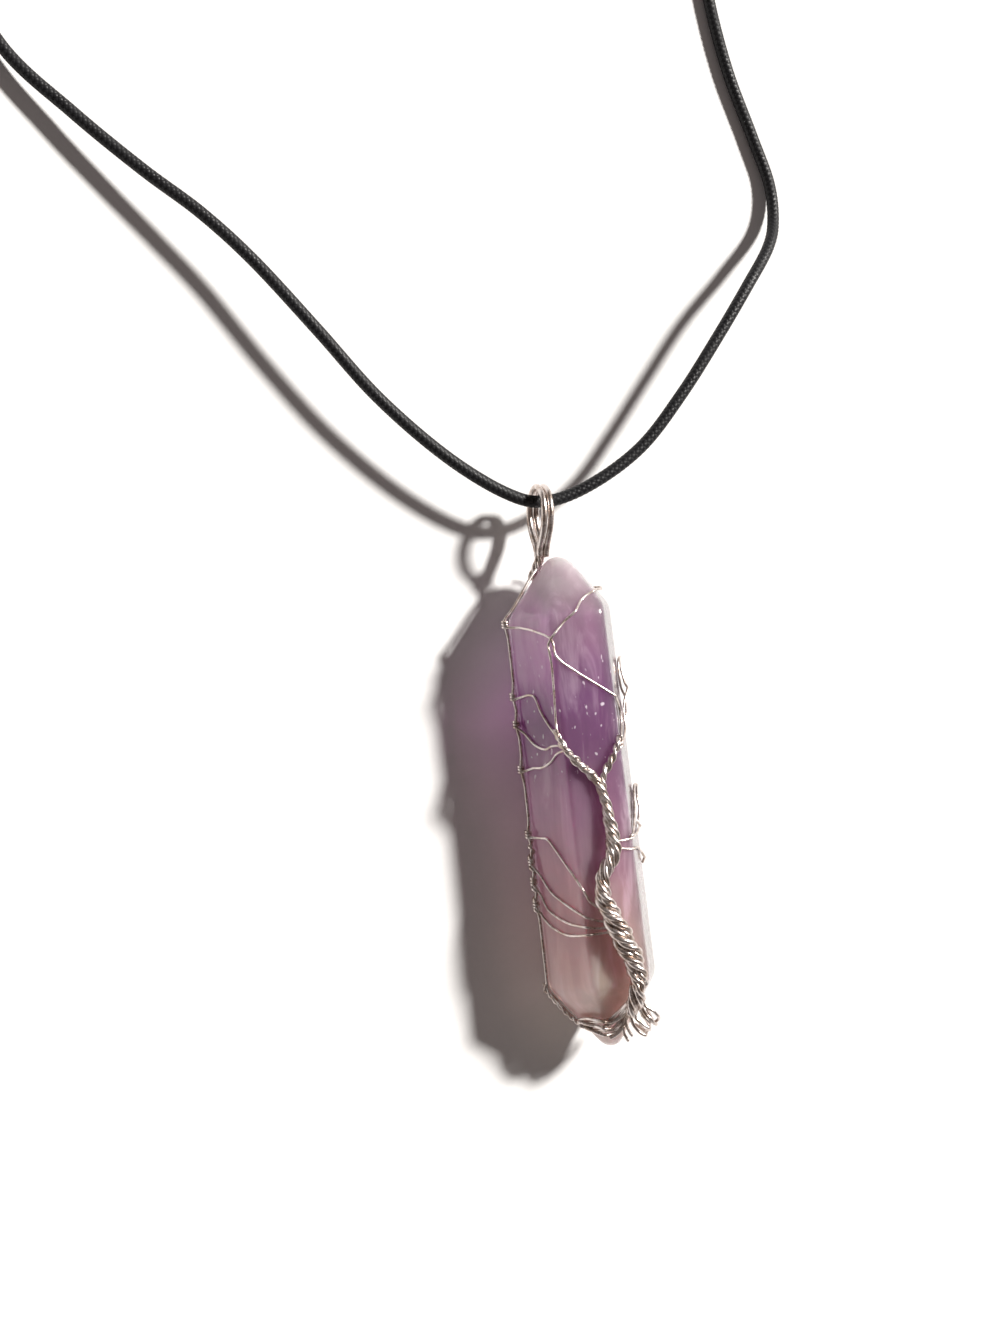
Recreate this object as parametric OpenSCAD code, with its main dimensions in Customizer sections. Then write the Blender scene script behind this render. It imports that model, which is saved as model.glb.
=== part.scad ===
// Crystal point pendant: a double ended six sided stone in a twisted wire tree,
// lying on its flat lower face, with its bail and a whole loop of waxed cord.
// X is across the stone, Y runs along it towards the bail, Z is up from the surface.
// The origin is the middle of the face that the stone rests on.

/* [Crystal] */
// Length of the stone from tip to tip
crystal_l = 60; // [50:1:70]
// Width across the corners at the bail end shoulder
upper_w = 13.5; // [12:0.1:15]
// Width across the corners at the lower shoulder
lower_w = 14.2; // [12.5:0.1:16]
// Length of the pyramid at the bail end
upper_point_l = 7.3; // [6:0.1:9]
// How far the right hand facets of that pyramid stand out
upper_swell = 0.45; // [0:0.05:0.5]
// Length of the pyramid at the lower end
lower_point_l = 8.3; // [7:0.1:10]
// How far both tips stand to the right of the middle
tip_shift = 0.3; // [0:0.1:0.5]

/* [Wire tree] */
// Width of the trunk at its widest
trunk_w = 3.3; // [2.4:0.1:4.4]
// Diameter of the strands in the trunk
trunk_wire = 0.6; // [0.5:0.05:0.7]
// Width of a branch where it meets the trunk
branch_w = 1.6; // [1.3:0.05:2.2]
// Diameter of the strands in the branches
branch_wire = 0.5; // [0.4:0.05:0.55]
// Diameter of the root strands
root_wire = 0.4; // [0.3:0.05:0.5]
// How far the root loops stand off the stone
root_stand = 3; // [2:0.1:4]
// Diameter of the two wires that frame the stone
frame_wire = 0.36; // [0.3:0.02:0.44]
// Diameter of the twigs and leaf loops
twig_wire = 0.3; // [0.24:0.02:0.36]
// How far the leaf loops stand off the stone
leaf_stand = 0.8; // [0.5:0.05:1.4]
// Length of one full twist of the trunk
trunk_pitch = 9; // [8:0.5:12]
// Length of one full twist of a branch
branch_pitch = 6; // [5:0.5:8]

/* [Bail] */
// Diameter of the two bail wires
bail_wire = 0.75; // [0.6:0.05:0.8]
// Length of the bail from its neck to the middle of its top wire
bail_l = 8.2; // [7.6:0.1:10]
// Height of the bail's loop between the middles of its wires
bail_depth = 5; // [4:0.1:6]

/* [Cord] */
// Diameter of the waxed cord
cord_d = 1.5; // [1.2:0.1:1.6]
// Diameter of the plain clasp
clasp_d = 4; // [3:0.1:5]
// Length of the plain clasp
clasp_l = 19; // [14:1:22]

/* [Hidden] */

// Clearance between a wire and the stone, and between two wires
gap = 0.1;
// Clearance between a twig's turns, the frame wire in them and the stone
hug = 0.05;
// Sides of a wire, of the thicker bail wire and of the cord
wire_sides = 6;
twig_sides = 5;
cord_sides = 8;
silver = [0.78, 0.76, 0.74];
amethyst = [0.55, 0.38, 0.6, 0.8];
cord_black = [0.05, 0.05, 0.05];

half_l = crystal_l / 2;
shoulder_top = half_l - upper_point_l;
shoulder_low = half_l - lower_point_l;
// The pyramids aim past the tips, which are blunted by flatter facets
blunt = 1;
blunt_lean = 66;
upper_apothem = upper_w / 2 * cos(30);
lower_apothem = lower_w / 2 * cos(30);
body_l = shoulder_top + shoulder_low;
taper = (lower_apothem - upper_apothem) / body_l;

// The stone as a function of y: a hexagon of a given apothem round a given middle
function body_apothem(y) = upper_apothem
    + taper * (shoulder_top - min(max(y, -shoulder_low), shoulder_top));
function point_share(y) = y > shoulder_top ? (y - shoulder_top) / (upper_point_l + blunt)
    : y < -shoulder_low ? (-y - shoulder_low) / (lower_point_l + blunt) : 0;
function apothem(y) = body_apothem(y) * (1 - point_share(y));
function middle_x(y) = tip_shift * point_share(y);
function middle_z(y) = body_apothem(y);
function point_lean(y) = y > shoulder_top ? atan(upper_apothem / (upper_point_l + blunt))
    : y < -shoulder_low ? atan(lower_apothem / (lower_point_l + blunt)) : 0;

// A place on the girth, counted in faces from the middle of the top face to the right
function girth(turn) = let (k = floor(turn + 0.5), f = turn + 0.5 - k,
        from = 120 - 60 * k, to = from - 60)
    (1 - f) * [cos(from), 0, sin(from)] + f * [cos(to), 0, sin(to)];

// A route's row is [share of half the length, place on the girth, height over the stone]
function swell(y, turn) = y < 0 ? 0 : min(max(3 * turn - 0.5, 0), 1)
    * min(upper_swell, body_apothem(y) - apothem(y));
function on_stone(row) = let (y = row[0] * half_l,
        r = (apothem(y) + swell(y, row[1]) + row[2] / cos(point_lean(y))) / cos(30))
    [middle_x(y), y, middle_z(y)] + r * girth(row[1]);
function outward(row) = let (g = girth(row[1])) g / norm(g);

function unit(v) = v / norm(v);
function between(a, b, c, d, t) = 0.5 * (2 * b + (c - a) * t
    + (2 * a - 5 * b + 4 * c - d) * t * t + (3 * b - a - 3 * c + d) * t * t * t);
function smooth(rows, steps) = let (last = len(rows) - 1) concat(
    [for (i = [0:last - 1], j = [0:steps - 1])
        between(rows[max(i - 1, 0)], rows[i], rows[i + 1], rows[min(i + 2, last)], j / steps)],
    [rows[last]]);
function heading(path, i) = unit(path[min(i + 1, len(path) - 1)] - path[max(i - 1, 0)]);

// A tube of a given radius along a path, its sides set out from the outward vectors
module tube(path, outs, r, sides) {
    rings = len(path);
    points = [for (i = [0:rings - 1])
        let (ahead = heading(path, i), across = unit(cross(ahead, outs[i])),
            up = cross(across, ahead))
        for (j = [0:sides - 1])
            path[i] + r * (cos(360 * j / sides) * up + sin(360 * j / sides) * across)];
    walls = [for (i = [0:rings - 2], j = [0:sides - 1], half = [0, 1])
        let (a = i * sides + j, b = i * sides + (j + 1) % sides)
        half == 0 ? [a, a + sides, b + sides] : [a, b + sides, b]];
    start = [for (j = [0:sides - 1]) j];
    end = [for (j = [sides - 1:-1:0]) (rings - 1) * sides + j];
    polyhedron(points = points, faces = concat([start], walls, [end]), convexity = 10);
}

// A wire laid over the stone along a route
module laid_wire(rows, d, sides, steps = 3) {
    fine = smooth(rows, steps);
    tube([for (row = fine) on_stone(row)], [for (row = fine) outward(row)], d / 2, sides);
}

// Radius of the ring on which twisted strands just clear each other
function tight_ring(strands, wire, pitch) =
    let (flat = (wire + gap) / (2 * sin(180 / strands)))
    flat / cos(atan(2 * PI * flat / pitch));

// Strands twisted round a route: its third column is 0 where they are tight, 1 at full width
module twisted(rows, w, strands, wire, pitch, steps) {
    fine = smooth(rows, steps);
    tight = tight_ring(strands, wire, pitch);
    rings = [for (row = fine) tight + row[2] * ((w - wire) / 2 - tight)];
    path = [for (i = [0:len(fine) - 1])
        on_stone([fine[i][0], fine[i][1], rings[i] + wire / 2 + gap])];
    outs = [for (row = fine) outward(row)];
    for (k = [0:strands - 1])
        tube([for (i = [0:len(path) - 1])
            let (ahead = heading(path, i), across = unit(cross(ahead, outs[i])),
                up = cross(across, ahead), run = abs(path[i][1] - path[0][1]),
                turn = 360 * (k / strands) - 360 * run / pitch)
            path[i] + rings[i] * (cos(turn) * up + sin(turn) * across)],
            outs, wire / 2, wire_sides);
}

// The frame wires run beside the stone's side corners: one at the left corner, one just
// under the right corner. They stand off it, so that a twig winds round them.
left_place = -1.45;
right_place = 1.85;
coil_r = frame_wire / 2 + twig_wire / 2 + hug;
frame_lift = coil_r + twig_wire / 2 + hug;
coil_pitch = twig_wire + gap;
coil_turns = 1.75;
coil_steps = 18;

// The turns of a twig round a frame wire: side is -1 on the left and 1 on the right
function beside(y, side) = [y / half_l, side < 0 ? left_place : right_place, frame_lift];
function along_frame(y, side) =
    unit(on_stone(beside(y + coil_pitch / 4, side)) - on_stone(beside(y, side)));
function coil(along, side, way) = [for (k = [0:coil_steps])
    let (back = coil_turns * (1 - k / coil_steps),
        turn = (side < 0 ? 60 : 20) - 360 * back,
        y = along * half_l - way * coil_pitch * (back - coil_turns / 2),
        ahead = along_frame(y, side), up = side * unit(cross(outward(beside(y, side)), ahead)),
        out = side * cross(ahead, up))
    on_stone(beside(y, side)) + coil_r * (cos(turn) * out + sin(turn) * up)];

// A twig that winds round a frame wire and then runs over the stone
module twig(along, side, way, rows, steps = 3) {
    turns = coil(along, side, way);
    fine = smooth(rows, steps);
    run = [for (row = fine) on_stone(row)];
    tube(concat(turns, run),
        concat([for (p = turns) way * along_frame(p[1], side)],
            [for (row = fine) outward(row)]),
        twig_wire / 2, twig_sides);
}

module frame_left() {
    color(silver) laid_wire(FRAME_LEFT, frame_wire, wire_sides, 4);
}
module frame_right() {
    color(silver) laid_wire(FRAME_RIGHT, frame_wire, wire_sides, 4);
}

// The rows of a frame wire: behind the tip, down a side corner and over the lower bevel
low = frame_lift;
BODY_STOPS = [shoulder_top / half_l, 0.5, 0.2, -0.1, -0.4, -shoulder_low / half_l];
FRAME_LEFT = concat(
    [[0.97, -1.9, low], [0.95, -1.65, low], [0.9, -1.5, low], [0.82, left_place, low]],
    [for (stop = BODY_STOPS) [stop, left_place, low]],
    [[-0.8, -1.48, low], [-0.86, -1.48, low]]);
FRAME_RIGHT = concat(
    [[0.96, 2.6, low], [0.94, 2.1, low], [0.91, right_place, low], [0.89, right_place, low],
        [0.82, right_place, low]],
    [for (stop = BODY_STOPS) [stop, right_place, low]],
    [[-0.8, 1.95, low], [-0.85, 2.1, low]]);

// Height of a twig's middle over the stone where it lies on it, and over another twig
lie = twig_wire / 2 + gap;
over = lie + twig_wire + 1.5 * gap;

// The long crossing wires near the bail, from the left and from the right shoulder
CROSS_LEFT = [[0.72, -1.2, lie], [0.7, -0.9, lie], [0.66, -0.55, lie], [0.59, -0.48, lie],
    [0.53, -0.2, lie], [0.44, 0.32, lie], [0.4, 0.55, lie], [0.36, 0.85, lie],
    [0.3, 0.85, lie], [0.25, 0.65, lie]];
CROSS_RIGHT = [[0.85, 1.5, over], [0.84, 1.2, over], [0.84, 0.85, lie], [0.83, 0.45, lie],
    [0.8, 0.15, lie], [shoulder_top / half_l, -0.06, lie + gap], [0.72, -0.28, lie],
    [0.65, -0.58, over], [0.61, -0.6, over], [0.55, -0.6, lie], [0.44, -0.62, lie],
    [0.33, -0.63, lie]];
// The three left twigs that join the left branch
TWIG_HIGH = [[0.45, -1.2, lie], [0.44, -1.05, lie], [0.38, -0.95, lie], [0.32, -0.8, lie]];
TWIG_MID = [[0.3, -1.35, lie], [0.25, -1.15, lie], [0.23, -0.95, lie], [0.24, -0.8, lie]];
TWIG_LOW = [[0.16, -1.25, lie], [0.16, -1.05, lie], [0.18, -0.85, lie], [0.21, -0.72, lie]];

module upper_twigs() {
    color(silver) {
        twig(0.74, -1, -1, CROSS_LEFT);
        twig(0.86, 1, -1, CROSS_RIGHT);
        twig(0.45, -1, -1, TWIG_HIGH);
        twig(0.34, -1, -1, TWIG_MID);
        twig(0.16, -1, -1, TWIG_LOW);
    }
}

// The four twigs that run from the left corner to the trunk
ROOT_TWIGS = [
    [-0.1, [[-0.12, -1.25, lie], [-0.13, -1.1, lie], [-0.2, -0.88, lie], [-0.33, -0.5, lie],
        [-0.38, -0.42, lie]]],
    [-0.21, [[-0.27, -1.35, lie], [-0.34, -1.15, lie], [-0.4, -0.8, lie], [-0.44, -0.5, lie],
        [-0.46, -0.35, lie]]],
    [-0.29, [[-0.35, -1.38, lie], [-0.41, -1.25, lie], [-0.46, -0.9, lie], [-0.48, -0.5, lie],
        [-0.49, -0.32, lie]]],
    [-0.38, [[-0.44, -1.38, lie], [-0.48, -1.2, lie], [-0.51, -0.9, lie], [-0.51, -0.5, lie],
        [-0.51, -0.3, lie]]]];

module lower_twigs() {
    color(silver) for (row = ROOT_TWIGS) twig(row[0], -1, -1, row[1]);
}

// The leaf loops and twigs on the right hand side: heights are 0 on the stone, 1 at leaf_stand
LEAF_HIGH = [[0.27, 1.58, 0.25], [0.3, 1.6, 0.8], [0.34, 1.62, 1], [0.38, 1.54, 0.5],
    [0.42, 1.42, 0.1], [0.45, 1.34, 0], [0.49, 1.32, 0], [0.54, 1.38, 0.05],
    [0.56, 1.5, 0.25], [0.54, 1.6, 0.8], [0.5, 1.6, 1], [0.45, 1.54, 0.8],
    [0.42, 1.46, 0.7], [0.38, 1.38, 0.25], [0.34, 1.34, 0], [0.28, 1.28, 0],
    [0.22, 1.05, 0]];
LEAF_LOW = [[-0.11, 0.8, 0], [-0.08, 1, 0], [-0.04, 1.15, 0], [0.01, 1.3, 0],
    [0.04, 1.44, 0.15], [0.02, 1.55, 0.6], [-0.02, 1.56, 0.65], [-0.07, 1.48, 0.25],
    [-0.11, 1.32, 0]];
TWIG_RIGHT_A = [[-0.12, 1.58, 0.5], [-0.13, 1.5, 0.15], [-0.14, 1.3, 0], [-0.15, 1, 0],
    [-0.15, 0.7, 0], [-0.16, 0.42, 0]];
TWIG_RIGHT_B = [[-0.28, 1.6, 0.55], [-0.26, 1.5, 0.2], [-0.23, 1.3, 0], [-0.21, 1, 0],
    [-0.2, 0.75, 0], [-0.2, 0.46, 0]];
function leaf(rows) = [for (row = rows) [row[0], row[1], lie + row[2] * leaf_stand]];

module leaf_loops() {
    color(silver) {
        twig(0.24, 1, 1, leaf(LEAF_HIGH));
        laid_wire(leaf(LEAF_LOW), twig_wire, twig_sides);
        twig(-0.09, 1, -1, leaf(TWIG_RIGHT_A));
        twig(-0.3, 1, 1, leaf(TWIG_RIGHT_B));
    }
}

// Rows of the tree: share of half the length, place on the girth, looseness of the twist
BRANCH_LEFT = [[0.28, -0.62, 0.3], [0.24, -0.52, 0.4], [0.21, -0.4, 0.55],
    [0.18, -0.26, 0.7], [0.15, -0.13, 0.85], [0.1, 0, 1]];
BRANCH_RIGHT = [[0.22, 0.43, 0.3], [0.2, 0.34, 0.4], [0.17, 0.25, 0.4], [0.14, 0.18, 0.4]];
TRUNK = [[0.07, 0.02, 0.1], [-0.02, 0.04, 0.1], [-0.11, 0.08, 0.1], [-0.17, 0.08, 0.1],
    [-0.23, 0, 0.2], [-0.31, -0.15, 0.4], [-0.4, -0.14, 0.55], [-0.49, -0.03, 0.85],
    [-0.58, 0.08, 1], [-0.67, 0.17, 0.6], [-0.75, 0.18, 0.3], [-0.82, 0.17, 0.2]];

module branch_left() {
    color(silver) twisted(BRANCH_LEFT, branch_w, 3, branch_wire, branch_pitch, 3);
}
module branch_right() {
    color(silver) twisted(BRANCH_RIGHT, branch_w, 3, branch_wire, branch_pitch, 3);
}
module trunk() {
    color(silver) twisted(TRUNK, trunk_w, 5, trunk_wire, trunk_pitch, 4);
}

// The root strands: four sweep left over the bevel, one runs down and three loop round to the
// right. Their heights are 0 on the stone and 1 at root_stand.
ROOTS = [
    [[-0.84, -0.06, 0], [-0.86, -0.3, 0], [-0.86, -0.6, 0], [-0.86, -0.95, 0],
        [-0.86, -1.15, 0]],
    [[-0.87, -0.04, 0], [-0.88, -0.25, 0], [-0.88, -0.6, 0], [-0.88, -1, 0], [-0.88, -1.2, 0]],
    [[-0.89, 0.02, 0.05], [-0.9, -0.2, 0.1], [-0.9, -0.55, 0.1], [-0.9, -0.9, 0.1],
        [-0.9, -1.15, 0.15]],
    [[-0.91, 0.05, 0.2], [-0.92, -0.15, 0.3], [-0.92, -0.5, 0.3], [-0.92, -0.8, 0.35],
        [-0.92, -1.05, 0.4]],
    [[-0.87, 0.17, 0.05], [-0.89, 0.18, 0.2], [-0.92, 0.2, 0.4], [-0.94, 0.27, 0.5]],
    [[-0.84, 0.28, 0.05], [-0.87, 0.33, 0.2], [-0.91, 0.4, 0.45], [-0.94, 0.52, 0.6],
        [-0.95, 0.78, 0.65], [-0.95, 1.05, 0.5], [-0.92, 1.3, 0.25]],
    [[-0.84, 0.37, 0.2], [-0.87, 0.44, 0.4], [-0.91, 0.53, 0.65], [-0.94, 0.68, 0.85],
        [-0.94, 0.92, 0.85], [-0.93, 1.16, 0.65], [-0.91, 1.36, 0.4]],
    [[-0.84, 0.46, 0.35], [-0.87, 0.55, 0.6], [-0.9, 0.68, 0.9], [-0.92, 0.86, 1],
        [-0.93, 1.06, 0.95], [-0.91, 1.26, 0.7], [-0.88, 1.42, 0.4]]];
function root(rows) = [for (row = rows)
    [row[0], row[1], root_wire / 2 + 1.5 * gap + row[2] * root_stand]];

module roots() {
    color(silver) for (rows = ROOTS) laid_wire(root(rows), root_wire, twig_sides);
}

// Half of the bail's outline: share of its length, share of half its depth
BAIL_HALF = [[0, 0.18], [0.1, 0.26], [0.24, 0.56], [0.4, 0.86], [0.57, 1], [0.74, 0.95],
    [0.88, 0.72], [0.97, 0.37]];
bail_foot = half_l + gap;
bail_x = -1.35;
bail_lean = 5;
bail_spread = bail_wire + gap;

module bail() {
    half = [for (row = BAIL_HALF) [0, row[0] * bail_l, row[1] * bail_depth / 2]];
    outline = concat(half, [[0, bail_l, 0]],
        [for (i = [len(half) - 1:-1:0]) [0, half[i][1], -half[i][2]]]);
    path = smooth(outline, 2);
    color(silver) translate([bail_x, bail_foot, upper_apothem]) rotate([0, 0, -bail_lean])
        for (side = [-1, 1]) translate([side * bail_spread / 2, 0, 0])
            tube(path, [for (p = path) [side, 0, 0]], bail_wire / 2, cord_sides);
}

// Half spaces beyond the stone's faces are cut from a block
module beyond(place, turn, lean) {
    reach = crystal_l;
    translate(place) rotate([0, -turn, 0]) rotate([0, 0, lean])
        translate([0, -reach, -reach]) cube([reach, 2 * reach, 2 * reach]);
}

module crystal() {
    side_block = 2 * max(upper_w, lower_w);
    color(amethyst) difference() {
        translate([-side_block / 2, -half_l, 0])
            cube([side_block, crystal_l, 2 * lower_apothem + side_block]);
        for (turn = [-30:60:210])
            beyond([cos(turn) * upper_apothem, shoulder_top, upper_apothem * (1 + sin(turn))],
                turn, atan(taper * (1 + sin(turn))));
        for (turn = [-90:60:210]) {
            out = turn > -90 && turn < 90 ? upper_swell : 0;
            beyond([tip_shift + out * cos(turn), half_l + blunt, upper_apothem + out * sin(turn)],
                turn, 90 - atan((upper_point_l + blunt) / (upper_apothem - tip_shift * cos(turn))));
            beyond([tip_shift, half_l, upper_apothem], turn, blunt_lean);
            beyond([tip_shift, -half_l - blunt, lower_apothem], turn,
                atan((lower_point_l + blunt) / (lower_apothem - tip_shift * cos(turn))) - 90);
            beyond([tip_shift, -half_l, lower_apothem], turn, -blunt_lean);
        }
    }
}

// The cord's route, from the clasp's left end round through the bail and back to its right end
clasp_x = -12;
clasp_y = 182;
clasp_end = clasp_l / 2 + 2 * gap;
CORD_ROUTE = [
    [clasp_x - clasp_end, clasp_y, clasp_d / 2], [-25, clasp_y, 2], [-33, 179.5, 1.1],
    [-42, 174, 0.8], [-51, 165, 0.8], [-58, 153, 0.8], [-62, 141, 0.8], [-64, 128, 0.8],
    [-64, 116, 0.8], [-62, 104, 1], [-58, 94, 1.5], [-51, 86, 2.5], [-44, 79, 3.5],
    [-38, 73.5, 4.5], [-32.5, 67.5, 5], [-26, 59, 5.5], [-19.5, 50.5, 5.5],
    [-12, 43, 5.5], [-5, 38, 5.5], [0, 36.5, 5.5], [6, 38, 6], [13, 42, 6.5],
    [19, 48, 7], [25, 55, 7], [30, 61, 6.5], [34.5, 66, 4.5], [37, 70, 2],
    [37.5, 75, 1], [36, 81, 0.8], [33.5, 90, 0.8], [32, 100, 0.8], [31.5, 112, 0.8],
    [31.5, 124, 0.8], [30, 137, 0.8], [27, 150, 0.8], [22, 161, 0.8], [15, 171, 0.8],
    [8, 178, 1], [1, clasp_y, 2], [clasp_x + clasp_end, clasp_y, clasp_d / 2]];

module cord() {
    path = smooth(CORD_ROUTE, 2);
    color(cord_black) tube(path, [for (p = path) [0, 0, 1]], cord_d / 2, cord_sides);
}

// The clasp is a plain barrel with chamfered ends
clasp_chamfer = 0.5;
module clasp() {
    r = clasp_d / 2;
    color(silver) translate([clasp_x - clasp_l / 2, clasp_y, r]) rotate([0, 90, 0])
        rotate_extrude($fn = 48) polygon([[0, 0], [r - clasp_chamfer, 0], [r, clasp_chamfer],
            [r, clasp_l - clasp_chamfer], [r - clasp_chamfer, clasp_l], [0, clasp_l]]);
}

crystal();
frame_left();
frame_right();
upper_twigs();
lower_twigs();
leaf_loops();
branch_left();
branch_right();
trunk();
roots();
bail();
cord();
clasp();
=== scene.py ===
"""Looks for the crystal point pendant: the stone, its wire tree and frame, the bail, the cord and the clasp.
Lengths are in millimetres until a mesh is made. X is across the stone, Y along it to the bail, Z up."""
import math

import bmesh
import bpy
import numpy as np
from mathutils import Matrix, Vector


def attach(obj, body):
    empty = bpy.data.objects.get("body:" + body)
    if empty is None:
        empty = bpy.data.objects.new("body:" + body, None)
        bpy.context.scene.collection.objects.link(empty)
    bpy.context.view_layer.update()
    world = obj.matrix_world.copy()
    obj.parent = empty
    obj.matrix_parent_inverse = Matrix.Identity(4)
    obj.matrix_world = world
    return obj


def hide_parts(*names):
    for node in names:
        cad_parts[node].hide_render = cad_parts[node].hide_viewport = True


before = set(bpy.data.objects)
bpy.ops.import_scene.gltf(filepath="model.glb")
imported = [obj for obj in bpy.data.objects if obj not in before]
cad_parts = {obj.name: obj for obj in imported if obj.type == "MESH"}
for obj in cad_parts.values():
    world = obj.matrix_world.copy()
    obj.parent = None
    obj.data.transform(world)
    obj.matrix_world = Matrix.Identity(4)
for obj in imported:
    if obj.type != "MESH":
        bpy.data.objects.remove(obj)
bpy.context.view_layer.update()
MM = 0.001

# Camera: the photo looks down on the surface, tilted a little to the left and rolled
PHOTO_WIDTH = 1000
TILT = math.radians(20)
ROLL = math.radians(6.63)
TARGET = Vector((-7.35, 17.3, 3.2))
DISTANCE = 280
PIXELS_PER_MM = 8.28
SENSOR = 36
CLIP = (0.01, 100)


def make_camera():
    across = Vector((math.cos(TILT), 0, math.sin(TILT)))
    along = Vector((0, 1, 0))
    back = Vector((-math.sin(TILT), 0, math.cos(TILT)))
    right = across * math.cos(ROLL) - along * math.sin(ROLL)
    up = across * math.sin(ROLL) + along * math.cos(ROLL)
    data = bpy.data.cameras.new("camera")
    data.sensor_fit = "HORIZONTAL"
    data.sensor_width = SENSOR
    data.lens = PIXELS_PER_MM * DISTANCE / PHOTO_WIDTH * SENSOR
    data.clip_start, data.clip_end = CLIP
    camera = bpy.data.objects.new("camera", data)
    turn = Matrix((right, up, back)).transposed()
    camera.matrix_world = Matrix.Translation((TARGET + back * DISTANCE) * MM) @ turn.to_4x4()
    bpy.context.scene.collection.objects.link(camera)
    bpy.context.scene.camera = camera


make_camera()

# The stone's sizes, as in the part
HALF_L = 30
UPPER_W, LOWER_W = 13.5, 14.2
UPPER_POINT, LOWER_POINT = 7.3, 8.3
SWELL = 0.45
TIP_SHIFT = 0.3
BLUNT, BLUNT_LEAN = 1, math.radians(66)
COS30 = math.cos(math.radians(30))
UPPER_APOTHEM = UPPER_W / 2 * COS30
LOWER_APOTHEM = LOWER_W / 2 * COS30
SHOULDER_TOP = HALF_L - UPPER_POINT
SHOULDER_LOW = HALF_L - LOWER_POINT
TAPER = (LOWER_APOTHEM - UPPER_APOTHEM) / (SHOULDER_TOP + SHOULDER_LOW)

# Places of the frame wires on the girth, in faces from the middle of the top face
LEFT, RIGHT = -1.45, 1.85
FRAME_WIRE = 0.36
TWIG_WIRE = 0.3
ROOT_WIRE = 0.4
GAP, CLEAR = 0.1, 0.04
# Heights of the middle of a twig that lies on the stone and of one that crosses another
LIE = TWIG_WIRE / 2 + CLEAR
OVER = LIE + TWIG_WIRE + CLEAR


def body_apothem(y):
    return UPPER_APOTHEM + TAPER * (SHOULDER_TOP - min(max(y, -SHOULDER_LOW), SHOULDER_TOP))


def point_share(y):
    if y > SHOULDER_TOP:
        return (y - SHOULDER_TOP) / (UPPER_POINT + BLUNT)
    if y < -SHOULDER_LOW:
        return (-y - SHOULDER_LOW) / (LOWER_POINT + BLUNT)
    return 0


def apothem(y):
    return body_apothem(y) * (1 - point_share(y))


def girth(turn):
    """A place round the hexagon, counted in faces from the middle of the top face to the right."""
    face = math.floor(turn + 0.5)
    share = turn + 0.5 - face
    start = math.radians(120 - 60 * face)
    end = start - math.radians(60)
    a = Vector((math.cos(start), 0, math.sin(start)))
    b = Vector((math.cos(end), 0, math.sin(end)))
    return a.lerp(b, share)


def swell(y, turn):
    if y < 0:
        return 0
    return min(max(3 * turn - 0.5, 0), 1) * min(SWELL, body_apothem(y) - apothem(y))


def on_stone(share, turn, lift):
    """A point over the stone: share of half its length, place on the girth, height over the face."""
    y = share * HALF_L
    lean = math.atan(UPPER_APOTHEM / (UPPER_POINT + BLUNT)) if y > SHOULDER_TOP else 0
    lean = math.atan(LOWER_APOTHEM / (LOWER_POINT + BLUNT)) if y < -SHOULDER_LOW else lean
    reach = (apothem(y) + swell(y, turn) + lift / math.cos(lean)) / COS30
    middle = Vector((TIP_SHIFT * point_share(y), y, body_apothem(y)))
    return middle + reach * girth(turn)


def smooth(rows, steps):
    """A curve through rows of numbers, with steps points for each stretch between two rows."""
    rows = [np.array(row, float) for row in rows]
    fine = []
    for i in range(len(rows) - 1):
        a, b = rows[max(i - 1, 0)], rows[i]
        c, d = rows[i + 1], rows[min(i + 2, len(rows) - 1)]
        for j in range(steps):
            t = j / steps
            fine.append(0.5 * (2 * b + (c - a) * t + (2 * a - 5 * b + 4 * c - d) * t * t
                               + (3 * b - a - 3 * c + d) * t ** 3))
    return np.array(fine + [rows[-1]]).tolist()


def laid(rows, steps=8):
    """The points of a wire laid over the stone along its rows."""
    return [on_stone(*row) for row in smooth(rows, steps)]


# A rounded end's rings: how far past the end they lie and how wide they are, in radii
ROUND_END = [(0.35, 0.94), (0.75, 0.66)]
# A path that starts steeper than this takes another direction than Z as its up
STEEP = 0.9


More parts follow.
